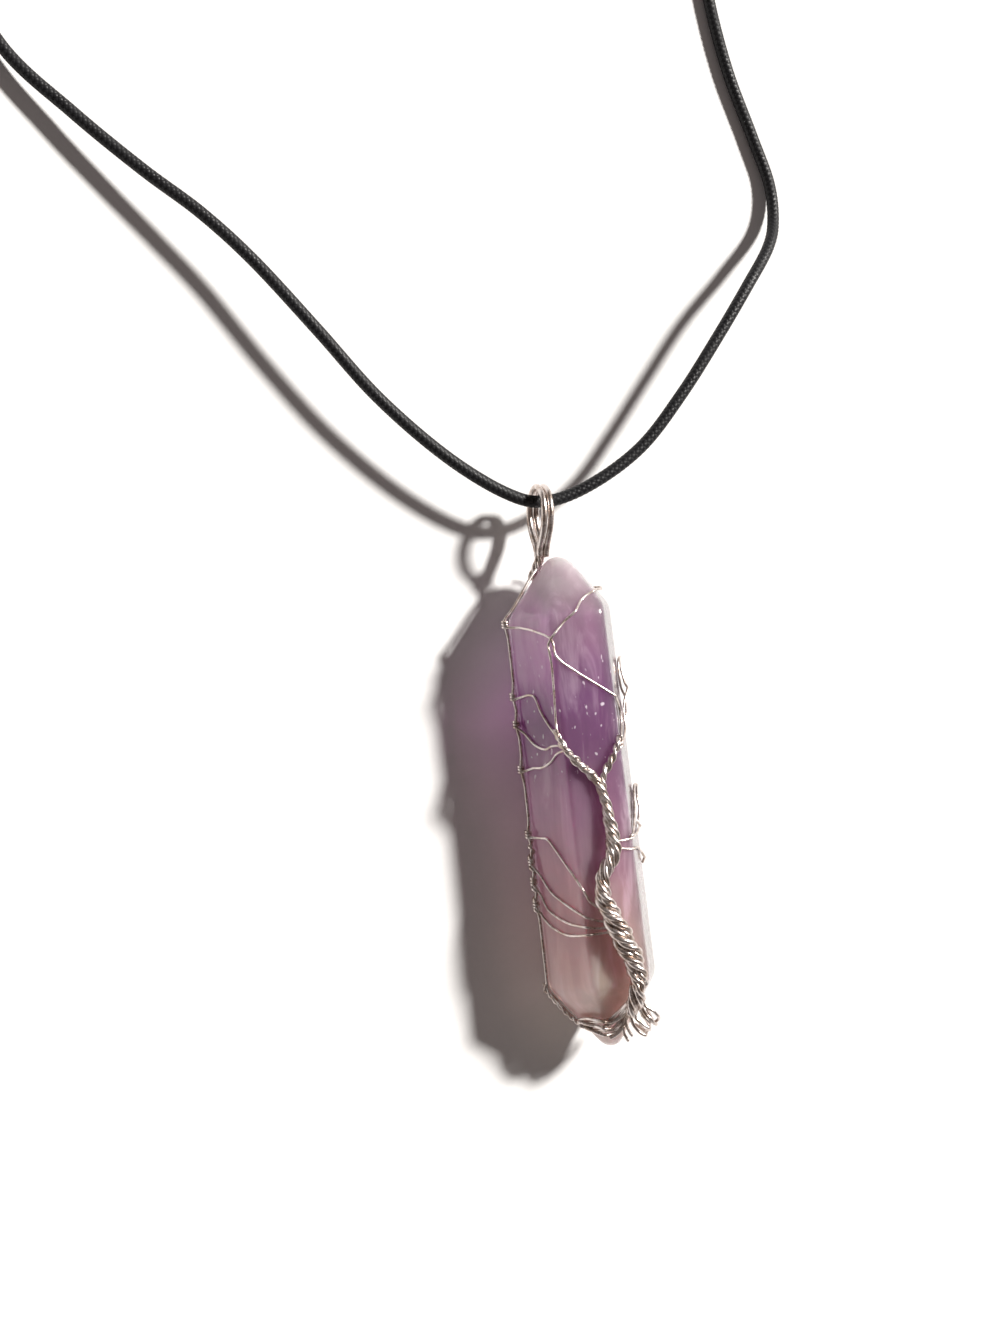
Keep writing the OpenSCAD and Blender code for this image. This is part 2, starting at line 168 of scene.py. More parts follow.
class Tubes:
    """Tubes along paths, gathered into one mesh."""

    def __init__(self):
        self.points = []
        self.faces = []
        self.uvs = []

    def add(self, path, radius, sides=10, round_ends=True, relief=None):
        path = [Vector(p) for p in path]
        n = len(path)
        ahead = [(path[min(i + 1, n - 1)] - path[max(i - 1, 0)]).normalized() for i in range(n)]
        up = ahead[0].orthogonal().normalized()
        if abs(ahead[0].z) < STEEP:
            up = (Vector((0, 0, 1)) - ahead[0] * ahead[0].z).normalized()
        rings = []
        run = 0
        for i in range(n):
            if i:
                up = ahead[i - 1].rotation_difference(ahead[i]) @ up
                up = (up - ahead[i] * up.dot(ahead[i])).normalized()
                run += (path[i] - path[i - 1]).length
            wide = radius(i) if callable(radius) else radius
            rings.append((path[i], ahead[i], up, wide, run))
        if round_ends:
            first, last = rings[0], rings[-1]
            start = [(first[0] - first[1] * first[3] * s, first[1], first[2], first[3] * w, -first[3] * s)
                     for s, w in reversed(ROUND_END)]
            end = [(last[0] + last[1] * last[3] * s, last[1], last[2], last[3] * w, run + last[3] * s)
                   for s, w in ROUND_END]
            rings = start + rings + end
        base = len(self.points)
        for place, way, upward, wide, at in rings:
            side = way.cross(upward)
            for j in range(sides):
                angle = 2 * math.pi * j / sides
                reach = wide + (relief(at, j / sides) if relief else 0)
                self.points.append(place + reach * (math.cos(angle) * upward + math.sin(angle) * side))
        for i in range(len(rings) - 1):
            for j in range(sides):
                k = (j + 1) % sides
                self.faces.append((base + i * sides + j, base + i * sides + k,
                                   base + (i + 1) * sides + k, base + (i + 1) * sides + j))
                a, b = rings[i][4], rings[i + 1][4]
                self.uvs += [(a, j / sides), (a, (j + 1) / sides), (b, (j + 1) / sides), (b, j / sides)]
        for ring, flip in ((0, True), (len(rings) - 1, False)):
            loop = [base + ring * sides + j for j in range(sides)]
            self.faces.append(tuple(reversed(loop)) if flip else tuple(loop))
            self.uvs += [(rings[ring][4], 0)] * sides

    def make(self, name, material, slot, *nodes):
        mesh = bpy.data.meshes.new(name)
        mesh.from_pydata([p * MM for p in self.points], [], self.faces)
        layer = mesh.uv_layers.new(name="run")
        layer.data.foreach_set("uv", np.array(self.uvs, np.float32).ravel())
        return finish_piece(name, mesh, material, slot, *nodes)


def finish_piece(name, mesh, material, slot, *nodes):
    mesh.polygons.foreach_set("use_smooth", [True] * len(mesh.polygons))
    mesh.materials.append(material)
    piece = bpy.data.objects.new(name, mesh)
    bpy.context.scene.collection.objects.link(piece)
    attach(piece, "root")
    if nodes:
        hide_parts(*nodes)
    return piece


class Nodes:
    """Short calls that build a material's nodes."""

    def __init__(self, name):
        self.material = bpy.data.materials.new(name)
        self.material.use_nodes = True
        self.tree = self.material.node_tree
        self.shader = self.tree.nodes["Principled BSDF"]
        self.output = self.tree.nodes["Material Output"]

    def add(self, kind, inputs=None, **settings):
        node = self.tree.nodes.new(kind)
        for key, value in settings.items():
            setattr(node, key, value)
        for key, value in (inputs or {}).items():
            self.put(node, key, value)
        return node

    def put(self, node, key, value):
        if isinstance(value, bpy.types.NodeSocket):
            self.tree.links.new(value, node.inputs[key])
        else:
            node.inputs[key].default_value = value

    def set(self, **values):
        for key, value in values.items():
            self.put(self.shader, key.replace("_", " "), value)

    def math(self, operation, a, b=0.5):
        return self.add("ShaderNodeMath", {0: a, 1: b}, operation=operation).outputs[0]

    def mix(self, share, a, b):
        node = self.add("ShaderNodeMix", data_type="RGBA")
        self.put(node, 0, share)
        self.put(node, 6, a)
        self.put(node, 7, b)
        return node.outputs[2]

    def spread(self, value, low, high, to_low=0.0, to_high=1.0, kind="SMOOTHSTEP"):
        node = self.add("ShaderNodeMapRange", {0: value, 1: low, 2: high, 3: to_low, 4: to_high},
                        interpolation_type=kind)
        return node.outputs[0]

    def place(self, scale=(1, 1, 1)):
        """The place on the object in millimetres, stretched by scale."""
        coordinates = self.add("ShaderNodeTexCoord").outputs["Object"]
        factor = tuple(s / MM for s in scale)
        return self.add("ShaderNodeVectorMath", {0: coordinates, 1: factor},
                        operation="MULTIPLY").outputs[0]

    def noise(self, where, scale, detail=3.0, roughness=0.5, distortion=0.0):
        node = self.add("ShaderNodeTexNoise", {"Vector": where, "Scale": scale, "Detail": detail,
                                               "Roughness": roughness, "Distortion": distortion})
        return node.outputs["Fac"]

    def ramp(self, value, stops):
        node = self.add("ShaderNodeValToRGB", {0: value})
        marks = node.color_ramp.elements
        while len(marks) < len(stops):
            marks.new(0.5)
        for mark, (position, colour) in zip(marks, stops):
            mark.position = position
            mark.color = (*colour, 1)
        return node.outputs[0]

    def bump(self, height, strength, distance):
        node = self.add("ShaderNodeBump", {"Height": height, "Strength": strength,
                                           "Distance": distance * MM})
        return node.outputs[0]


def silver_material():
    """Drawn silver coloured wire: bright where it is rubbed, brown with tarnish in patches."""
    n = Nodes("silver_wire")
    where = n.place()
    cloud = n.noise(where, 0.9, 4.0, 0.65)
    fine = n.noise(where, 9.0, 3.0, 0.7)
    tarnish = n.spread(cloud, 0.4, 0.66)
    n.set(Base_Color=n.mix(tarnish, (0.78, 0.71, 0.68, 1), (0.48, 0.38, 0.32, 1)), Metallic=1.0,
          Roughness=n.spread(fine, 0.3, 0.7, 0.22, 0.4), Normal=n.bump(fine, 0.25, 0.02))
    return n.material


def cord_material():
    """Black waxed braid: small glossy stitches with painted shade, a darker black, in the hollows between
    them, and a few waxy smears.
    """
    n = Nodes("waxed_cord")
    uv = n.add("ShaderNodeUVMap", uv_map="run").outputs[0]
    apart = n.add("ShaderNodeSeparateXYZ", {0: uv})
    where = n.place()
    along = n.math("MULTIPLY", apart.outputs[0], 2 * math.pi / BRAID_L)
    around = n.math("MULTIPLY", apart.outputs[1], 2 * math.pi * BRAID_COUNT)
    weave = n.math("SUBTRACT", n.math("COSINE", along), n.math("COSINE", around))
    stitch = n.math("ABSOLUTE", weave)
    threads = n.math("SINE", n.math("MULTIPLY", n.math("ADD", along, around), 3.0))
    fuzz = n.noise(where, 5.0, 3.0, 0.7)
    wax = n.noise(where, 0.35, 3.0, 0.6)
    height = n.math("ADD", n.math("MULTIPLY", stitch, 0.5), n.math("MULTIPLY", threads, 0.08))
    # painted shade: the hollows between the stitches get a darker black than the raised stitches
    hollow_shade = n.spread(stitch, 0.0, 0.9)
    n.set(Base_Color=n.mix(hollow_shade, (0.003, 0.003, 0.004, 1), (0.012, 0.012, 0.014, 1)),
          Roughness=n.spread(n.math("ADD", n.math("MULTIPLY", fuzz, 0.5), n.math("MULTIPLY", wax, 0.5)),
                             0.35, 0.65, 0.38, 0.62),
          Normal=n.bump(height, 0.45, 0.06))
    n.set(Specular_IOR_Level=0.3)
    return n.material


def clasp_material():
    """Turned metal with fine rings."""
    n = Nodes("clasp_metal")
    where = n.place()
    rings = n.noise(n.place((12, 0.3, 0.3)), 1.0, 2.0, 0.6)
    smear = n.noise(where, 0.5, 3.0, 0.6)
    n.set(Base_Color=n.mix(smear, (0.80, 0.78, 0.75, 1), (0.66, 0.63, 0.60, 1)), Metallic=1.0,
          Roughness=n.spread(smear, 0.3, 0.7, 0.18, 0.34), Normal=n.bump(rings, 0.2, 0.03))
    return n.material


def stone_material():
    """Cloudy amethyst: deepest purple above its middle, pale grey at the tip, pinkish beige at the foot,
    with a painted glow that makes its left face pinker, painted shade that greys its right faces, and white
    streaks and flecks inside."""
    n = Nodes("amethyst")
    where = n.place()
    apart = n.add("ShaderNodeSeparateXYZ", {0: where})
    x, y = apart.outputs[0], apart.outputs[1]
    streak = n.noise(n.place((1, 0.2, 1)), 0.45, 4.0, 0.55, 0.6)
    cloud = n.noise(where, 0.17, 4.0, 0.55, 0.3)
    wander = n.math("MULTIPLY", n.math("SUBTRACT", cloud, 0.5), 9.0)
    along = n.spread(n.math("ADD", y, wander), -30, 30, kind="LINEAR")
    body = n.ramp(along, [(0.0, (0.62, 0.50, 0.44)), (0.12, (0.60, 0.46, 0.40)), (0.24, (0.52, 0.38, 0.36)),
                          (0.36, (0.42, 0.26, 0.32)), (0.5, (0.33, 0.18, 0.28)), (0.62, (0.22, 0.10, 0.21)),
                          (0.72, (0.24, 0.11, 0.24)), (0.82, (0.33, 0.19, 0.30)), (0.91, (0.38, 0.28, 0.34)),
                          (1.0, (0.60, 0.55, 0.56))])
    # painted shade: the right faces, on the sunlit side, are darkened towards a dark grey from x = 1 to 4.6
    # mm
    body = n.mix(n.spread(x, 1.0, 4.6, 0.0, 0.85), body, (0.10, 0.09, 0.10, 1))
    # painted glow: the left faces, turned away from the sun, are made pinker and brighter from x = -2.6 to
    # -4.4 mm, standing in for light that passes through the stone
    painted_glow = n.ramp(along, [(0.0, (0.80, 0.64, 0.57)), (0.3, (0.76, 0.45, 0.50)), (0.5, (0.62, 0.34, 0.50)),
                          (0.66, (0.36, 0.14, 0.34)), (0.78, (0.62, 0.32, 0.60)), (1.0, (0.75, 0.68, 0.70))])
    body = n.mix(n.spread(x, -2.6, -4.4, 0.0, 0.8), body, painted_glow)
    body = n.mix(n.spread(streak, 0.5, 0.72, 0.0, 0.3), body, (0.72, 0.60, 0.68, 1))
    flecks = n.noise(n.place((1.6, 0.8, 1.6)), 1.15, 2.0, 0.45)
    upper = n.math("MULTIPLY", n.spread(along, 0.5, 0.6), n.spread(along, 0.86, 0.8))
    white = n.math("MULTIPLY", n.spread(flecks, 0.68, 0.73, 0.0, 0.75), upper)
    body = n.mix(white, body, (0.92, 0.86, 0.92, 1))
    scratches = n.noise(n.place((1, 0.15, 1)), 3.0, 3.0, 0.65)
    dimples = n.noise(where, 0.8, 3.0, 0.5)
    relief = n.math("ADD", n.math("MULTIPLY", scratches, 0.15), n.math("MULTIPLY", dimples, 0.5))
    n.set(Base_Color=body, Roughness=n.spread(dimples, 0.3, 0.7, 0.1, 0.22), IOR=1.54,
          Transmission_Weight=n.spread(streak, 0.35, 0.7, 0.3, 0.15),
          Normal=n.bump(relief, 0.12, 0.2))
    n.set(Subsurface_Weight=1.0, Subsurface_Radius=(1.0, 0.85, 0.95), Subsurface_Scale=12.0 * MM,
          Coat_Weight=0.4, Coat_Roughness=0.06)
    light = n.add("ShaderNodeLightPath")
    tint = n.ramp(along, [(0.0, (0.02, 0.015, 0.01)), (0.5, (0.06, 0.045, 0.04)), (0.66, (0.12, 0.08, 0.09)),
                          (0.76, (0.24, 0.15, 0.22)), (0.86, (0.10, 0.08, 0.09)), (1.0, (0.05, 0.05, 0.05))])
    clear = n.add("ShaderNodeBsdfTransparent", {0: tint})
    share = n.math("MULTIPLY", light.outputs["Is Shadow Ray"], 0.9)
    both = n.add("ShaderNodeMixShader", {0: share, 1: n.shader.outputs[0], 2: clear.outputs[0]})
    n.tree.links.new(both.outputs[0], n.output.inputs[0])
    return n.material


def floor_material():
    n = Nodes("pale_floor")
    where = n.place()
    grain = n.noise(where, 1.5, 4.0, 0.6)
    n.set(Base_Color=n.mix(grain, (0.86, 0.86, 0.86, 1), (0.90, 0.90, 0.90, 1)), Roughness=0.9,
          Normal=n.bump(grain, 0.02, 0.1))
    n.set(Specular_IOR_Level=0.1)
    return n.material


# The stone: a smooth blend of the planes of its faces, met by rays from its axis
STONE_SHARPNESS = 6.0
STONE_SIDES, STONE_CAP, STONE_RINGS = 144, 44, 150
# Halvings of the search along each ray, and the bound that keeps its powers finite
STONE_HALVINGS, STONE_BOUND = 40, 60


def plane(place, turn, lean):
    """A face as its outward normal and its distance, through a place, as the part cuts it."""
    out = Vector((math.cos(turn) * math.cos(lean), math.sin(lean), math.sin(turn) * math.cos(lean)))
    return (*out, out.dot(Vector(place)))


def stone_planes():
    planes = []
    for k in range(6):
        turn = math.radians(-90 + 60 * k)
        side_lean = math.atan(TAPER * (1 + math.sin(turn)))
        planes.append(plane((math.cos(turn) * UPPER_APOTHEM, SHOULDER_TOP,
                             UPPER_APOTHEM * (1 + math.sin(turn))), turn, side_lean))
        out = SWELL if 0 < k < 3 else 0
        top = (TIP_SHIFT + out * math.cos(turn), HALF_L + BLUNT, UPPER_APOTHEM + out * math.sin(turn))
        inward = TIP_SHIFT * math.cos(turn)
        planes.append(plane(top, turn,
                            math.pi / 2 - math.atan((UPPER_POINT + BLUNT) / (UPPER_APOTHEM - inward))))
        planes.append(plane((TIP_SHIFT, HALF_L, UPPER_APOTHEM), turn, BLUNT_LEAN))
        planes.append(plane((TIP_SHIFT, -HALF_L - BLUNT, LOWER_APOTHEM), turn,
                            math.atan((LOWER_POINT + BLUNT) / (LOWER_APOTHEM - inward)) - math.pi / 2))
        planes.append(plane((TIP_SHIFT, -HALF_L, LOWER_APOTHEM), turn, -BLUNT_LEAN))
    return np.array(planes)


def stone_rays():
    """Origins on the axis and directions: a fan at each end and level rings between them."""
    rows = []
    for i in range(STONE_CAP):
        rows.append((-SHOULDER_LOW, -math.pi / 2 * (1 - (i + 0.5) / STONE_CAP)))
    for i in range(STONE_RINGS):
        rows.append((-SHOULDER_LOW + (SHOULDER_TOP + SHOULDER_LOW) * i / (STONE_RINGS - 1), 0))
    for i in range(STONE_CAP):
        rows.append((SHOULDER_TOP, math.pi / 2 * (i + 0.5) / STONE_CAP))
    origins, ways = [], []
    for y, rise in rows:
        for j in range(STONE_SIDES):
            turn = 2 * math.pi * j / STONE_SIDES
            origins.append((0, y, body_apothem(y)))
            ways.append((math.cos(rise) * math.cos(turn), math.sin(rise), math.cos(rise) * math.sin(turn)))
    return np.array(origins), np.array(ways), len(rows)


def make_stone(material):
    planes = stone_planes()
    origins, ways, rings = stone_rays()
    near, far = np.zeros(len(origins)), np.full(len(origins), 2.0 * HALF_L)
    for _ in range(STONE_HALVINGS):
        middle = (near + far) / 2
        beyond = (origins + ways * middle[:, None]) @ planes[:, :3].T - planes[:, 3]
        beyond = np.clip(beyond * STONE_SHARPNESS, -STONE_BOUND, STONE_BOUND)
        inside = np.log(np.exp(beyond).sum(1)) < 0
        near = np.where(inside, middle, near)
        far = np.where(inside, far, middle)
    points = origins + ways * near[:, None]
    faces = []
    for i in range(rings - 1):
        for j in range(STONE_SIDES):
            k = (j + 1) % STONE_SIDES
            faces.append((i * STONE_SIDES + j, i * STONE_SIDES + k, (i + 1) * STONE_SIDES + k,
                          (i + 1) * STONE_SIDES + j))
    faces.append(tuple(range(STONE_SIDES)))
    faces.append(tuple(reversed(range((rings - 1) * STONE_SIDES, rings * STONE_SIDES))))
    mesh = bpy.data.meshes.new("stone")
    mesh.from_pydata((points * MM).tolist(), [], faces)
    tidy = bmesh.new()
    tidy.from_mesh(mesh)
    bmesh.ops.recalc_face_normals(tidy, faces=tidy.faces)
    tidy.to_mesh(mesh)
    tidy.free()
    return finish_piece("stone", mesh, material, "amethyst", "crystal")


# Frame wires lie close to the stone, and stand off it where a twig is wound round them
FRAME_LIFT, KNOT_LIFT, KNOT_REACH = 0.3, 0.53, 0.04
STOPS = [SHOULDER_TOP / HALF_L, 0.5, 0.2, -0.1, -0.4, -SHOULDER_LOW / HALF_L]
FRAME_LEFT = ([[0.98, -2.2], [0.95, -1.65], [0.9, -1.5], [0.82, LEFT]]
              + [[stop, LEFT] for stop in STOPS] + [[-0.8, -1.48], [-0.86, -1.48]])
FRAME_RIGHT = ([[0.98, 2.8], [0.94, 2.1], [0.91, RIGHT], [0.89, RIGHT], [0.82, RIGHT]]
               + [[stop, RIGHT] for stop in STOPS] + [[-0.8, 1.95], [-0.85, 2.1]])

# Twigs near the bail and on the left
CROSS_LEFT = [[0.72, -1.2, LIE], [0.7, -0.9, LIE], [0.66, -0.55, LIE], [0.59, -0.48, LIE],
              [0.53, -0.2, LIE], [0.44, 0.32, LIE], [0.4, 0.55, LIE], [0.36, 0.8, LIE],
              [0.3, 0.8, LIE], [0.25, 0.6, LIE], [0.22, 0.45, OVER]]
CROSS_RIGHT = [[0.85, 1.5, OVER], [0.84, 1.2, OVER], [0.84, 0.85, LIE], [0.83, 0.45, LIE], [0.8, 0.15, LIE],
               [SHOULDER_TOP / HALF_L, -0.06, LIE + GAP], [0.72, -0.28, LIE], [0.65, -0.58, OVER],
               [0.61, -0.6, OVER], [0.55, -0.6, LIE], [0.44, -0.62, LIE], [0.33, -0.65, LIE],
               [0.28, -0.62, OVER]]
TWIG_HIGH = [[0.45, -1.2, LIE], [0.44, -1.05, LIE], [0.38, -0.95, LIE], [0.32, -0.8, LIE],
             [0.27, -0.62, OVER]]
TWIG_MID = [[0.3, -1.35, LIE], [0.25, -1.15, LIE], [0.23, -0.95, LIE], [0.24, -0.8, LIE],
            [0.24, -0.58, OVER]]
TWIG_LOW = [[0.16, -1.25, LIE], [0.16, -1.05, LIE], [0.18, -0.85, LIE], [0.21, -0.7, LIE],
            [0.22, -0.5, OVER]]
UPPER_TWIGS = [(0.74, -1, -1, CROSS_LEFT), (0.86, 1, -1, CROSS_RIGHT), (0.45, -1, -1, TWIG_HIGH),
               (0.34, -1, -1, TWIG_MID), (0.16, -1, -1, TWIG_LOW)]
LOWER_TWIGS = [
    (-0.1, -1, -1, [[-0.12, -1.25, LIE], [-0.13, -1.1, LIE], [-0.2, -0.88, LIE], [-0.33, -0.5, LIE],
                    [-0.38, -0.4, LIE], [-0.41, -0.25, OVER]]),
    (-0.21, -1, -1, [[-0.27, -1.35, LIE], [-0.34, -1.15, LIE], [-0.4, -0.8, LIE], [-0.44, -0.5, LIE],
                     [-0.46, -0.3, LIE], [-0.47, -0.12, OVER]]),
    (-0.29, -1, -1, [[-0.35, -1.38, LIE], [-0.41, -1.25, LIE], [-0.46, -0.9, LIE], [-0.48, -0.5, LIE],
                     [-0.49, -0.3, LIE], [-0.49, -0.1, OVER]]),
    (-0.38, -1, -1, [[-0.44, -1.38, LIE], [-0.48, -1.2, LIE], [-0.51, -0.9, LIE], [-0.51, -0.5, LIE],
                     [-0.51, -0.28, LIE], [-0.51, -0.06, OVER]])]

# Leaf loops and twigs on the right: heights are 0 on the stone and 1 at LEAF_STAND over it
LEAF_STAND = 0.8
LEAF_HIGH = [[0.27, 1.58, 0.25], [0.3, 1.6, 0.8], [0.34, 1.62, 1], [0.38, 1.54, 0.5], [0.42, 1.42, 0.1],
             [0.45, 1.34, 0], [0.49, 1.32, 0], [0.54, 1.38, 0.05], [0.56, 1.5, 0.25], [0.54, 1.6, 0.8],
             [0.5, 1.6, 1], [0.45, 1.54, 0.8], [0.42, 1.46, 0.7], [0.38, 1.38, 0.25], [0.34, 1.34, 0],
             [0.28, 1.25, 0], [0.24, 0.95, 0], [0.22, 0.6, 0], [0.2, 0.4, 0.4]]
LEAF_LOW = [[-0.15, 0.45, 0], [-0.11, 0.8, 0], [-0.08, 1, 0], [-0.04, 1.15, 0], [0.01, 1.3, 0],
            [0.04, 1.44, 0.15], [0.02, 1.55, 0.6], [-0.02, 1.56, 0.65], [-0.07, 1.48, 0.25], [-0.1, 1.4, 0.1]]
TWIG_RIGHT_A = [[-0.12, 1.58, 0.5], [-0.13, 1.5, 0.15], [-0.14, 1.3, 0], [-0.15, 1, 0], [-0.15, 0.7, 0],
                [-0.16, 0.4, 0], [-0.16, 0.2, 0.4]]
TWIG_RIGHT_B = [[-0.28, 1.6, 0.55], [-0.26, 1.5, 0.2], [-0.23, 1.3, 0], [-0.21, 1, 0], [-0.2, 0.75, 0],
                [-0.2, 0.45, 0], [-0.19, 0.2, 0.4]]


def leaf(rows):
    return [[share, turn, LIE + height * LEAF_STAND] for share, turn, height in rows]


RIGHT_TWIGS = [(0.24, 1, 1, leaf(LEAF_HIGH)), (-0.09, 1, -1, leaf(TWIG_RIGHT_A)),
               (-0.3, 1, 1, leaf(TWIG_RIGHT_B))]


def frame_lift(share, side):
    """Height of a frame wire over the stone, highest in the middle of each twig's turns."""
    knots = [row[0] for row in UPPER_TWIGS + LOWER_TWIGS + RIGHT_TWIGS if row[1] == side]
    near = max(math.exp(-((share - knot) / KNOT_REACH) ** 2) for knot in knots)
    return FRAME_LIFT + (KNOT_LIFT - FRAME_LIFT) * near


COIL_R = FRAME_WIRE / 2 + TWIG_WIRE / 2
COIL_GAP = 0.01
COIL_PITCH = TWIG_WIRE + COIL_GAP
COIL_TURNS, COIL_STEPS = 2.3, 24
# Angles round a frame wire where a twig leaves its turns, on the left and on the right
LEAVE_LEFT, LEAVE_RIGHT = 60, 20
FRAME_STEPS = 24
# A spare end of wire winds loosely down the left frame wire past its lower knots
CHAIN_TOP, CHAIN_LOW, CHAIN_PITCH, CHAIN_STEPS = -0.11, -0.43, 1.25, 20


def beside(y, side):
    return on_stone(y / HALF_L, LEFT if side < 0 else RIGHT, frame_lift(y / HALF_L, side))


def wound(y, side, turn):
    """A point of a wire wound round a frame wire: turn is 0 away from the stone."""
    ahead = (beside(y + 0.1, side) - beside(y, side)).normalized()
    up = girth(LEFT if side < 0 else RIGHT).cross(ahead).normalized() * side
    out = ahead.cross(up) * side
    return beside(y, side) + COIL_R * (math.cos(turn) * out + math.sin(turn) * up)


def coil(along, side, way):
    """The turns of a twig round a frame wire, ending on the side that it leaves from."""
    count = int(COIL_TURNS * COIL_STEPS)
    leave = LEAVE_LEFT if side < 0 else LEAVE_RIGHT
    path = []
    for k in range(count + 1):
        back = COIL_TURNS * (1 - k / count)
        y = along * HALF_L - way * COIL_PITCH * (back - COIL_TURNS / 2)
        path.append(wound(y, side, math.radians(leave - 360 * back)))
    return path


def chain():
    length = (CHAIN_TOP - CHAIN_LOW) * HALF_L
    count = int(length / CHAIN_PITCH * CHAIN_STEPS)
    return [wound(CHAIN_TOP * HALF_L - length * k / count, -1, 2 * math.pi * k / CHAIN_STEPS)
            for k in range(count + 1)]


def twig(tubes, along, side, way, rows):
    tubes.add(coil(along, side, way) + laid(rows), TWIG_WIRE / 2)


def frame_path(rows, side):
    fine = smooth(rows, FRAME_STEPS)
    return [on_stone(share, turn, frame_lift(share, side)) for share, turn in fine]


def make_wires(silver):
    for name, rows, side in (("frame_left", FRAME_LEFT, -1), ("frame_right", FRAME_RIGHT, 1)):
        tubes = Tubes()
        tubes.add(frame_path(rows, side), FRAME_WIRE / 2, 12)
        if side < 0:
            tubes.add(chain(), TWIG_WIRE / 2)
        tubes.make(name + "_wire", silver, "silver_wire", name)
    for name, twigs in (("upper_twigs", UPPER_TWIGS), ("lower_twigs", LOWER_TWIGS),
                        ("leaf_loops", RIGHT_TWIGS)):
        tubes = Tubes()
        for row in twigs:
            twig(tubes, *row)
        if name == "leaf_loops":
            tubes.add(laid(leaf(LEAF_LOW)), TWIG_WIRE / 2)
        tubes.make(name + "_wire", silver, "silver_wire", name)


# The tree: share of half the length, place on the girth, share of the full width. The branches
# run on into the trunk, which starts thin inside them.
TRUNK_W, BRANCH_W = 3.0, 1.2
BRANCH_LEFT = [[0.3, -0.68, 0.4], [0.28, -0.64, 0.6], [0.24, -0.55, 0.9], [0.2, -0.43, 1], [0.16, -0.3, 1],
               [0.12, -0.16, 1], [0.08, -0.03, 0.9], [0.03, 0.03, 0.75]]
BRANCH_RIGHT = [[0.25, 0.47, 0.4], [0.22, 0.4, 0.7], [0.17, 0.27, 0.9], [0.14, 0.18, 0.9], [0.1, 0.08, 0.85],
                [0.05, 0.05, 0.65]]
TRUNK = [[0.14, -0.2, 0.25], [0.08, -0.03, 0.4], [0, 0.05, 0.45], [-0.1, 0.07, 0.6], [-0.18, 0.07, 0.7],
         [-0.24, -0.03, 0.7], [-0.3, -0.16, 0.65], [-0.36, -0.18, 0.75], [-0.42, -0.13, 0.85],
         [-0.48, -0.05, 0.95], [-0.54, 0.02, 1], [-0.6, 0.11, 0.95], [-0.67, 0.18, 0.85], [-0.74, 0.19, 0.75],
         [-0.79, 0.19, 0.8], [-0.84, 0.17, 0.7]]
# Strands are thicker where their bundle is wide
STRAND, STRAND_GROWTH = 0.4, 0.45
ROPE_STEPS = 10
# Rings of a bundle of two strands, of one of three and of the core, in strand thicknesses
INNER_TWO, INNER_THREE, CORE_RING = 0.52, 0.63, 0.6
# The least ring of the bundles, and a bundle's own twist for each twist of the rope
LEAST_RING, OWN_TWIST = 0.1, 1.35


def strand_wire(width):
    return STRAND * width ** STRAND_GROWTH


def rope(rows, bundles, strands, core, pitch):
    """Bundles of strands twisted round a route, each with a twist of its own, and a core. Gives the
    strands' paths, and the radii along the route that they all share."""
    fine = smooth(rows, ROPE_STEPS)
    centre = [on_stone(row[0], row[1], row[2] / 2 + CLEAR) for row in fine]
    n = len(centre)
    paths = [[] for _ in range(bundles * strands + core)]
    for i, row in enumerate(fine):
        ahead = (centre[min(i + 1, n - 1)] - centre[max(i - 1, 0)]).normalized()
        across = ahead.cross(girth(row[1])).normalized()
        up = across.cross(ahead)
        run = abs(centre[i].y - centre[0].y)
        wire = strand_wire(row[2])
        inner = wire * (INNER_THREE if strands > 2 else INNER_TWO)
        ring = max((row[2] - wire) / 2 - inner, LEAST_RING)
        for b in range(bundles):
            turn = 2 * math.pi * (b / bundles - run / pitch)
            way = math.cos(turn) * up + math.sin(turn) * across
            tangent = -math.sin(turn) * up + math.cos(turn) * across
            for s in range(strands):
                own = 2 * math.pi * (s / strands - OWN_TWIST * run / pitch)
                paths[b * strands + s].append(centre[i] + way * (ring + inner * math.cos(own))
                                              + tangent * inner * math.sin(own))
        for c in range(core):
            own = 2 * math.pi * (c / core - run / pitch)
            outward = math.cos(own) * up + math.sin(own) * across
            paths[bundles * strands + c].append(centre[i] + wire * CORE_RING * outward)
    radii = [strand_wire(row[2]) / 2 for row in fine]
    return paths, radii


def make_tree(silver):
    for name, rows, width, bundles, strands, core, pitch in (
            ("branch_left", BRANCH_LEFT, BRANCH_W, 2, 2, 0, 5),
            ("branch_right", BRANCH_RIGHT, BRANCH_W, 2, 2, 0, 5),
            ("trunk", TRUNK, TRUNK_W, 3, 3, 3, 9)):
        tubes = Tubes()
        wide = [[share, turn, part * width] for share, turn, part in rows]
        paths, radii = rope(wide, bundles, strands, core, pitch)
        for path in paths:
            tubes.add(path, radii.__getitem__, 10)
        tubes.make(name + "_wire", silver, "silver_wire", name)


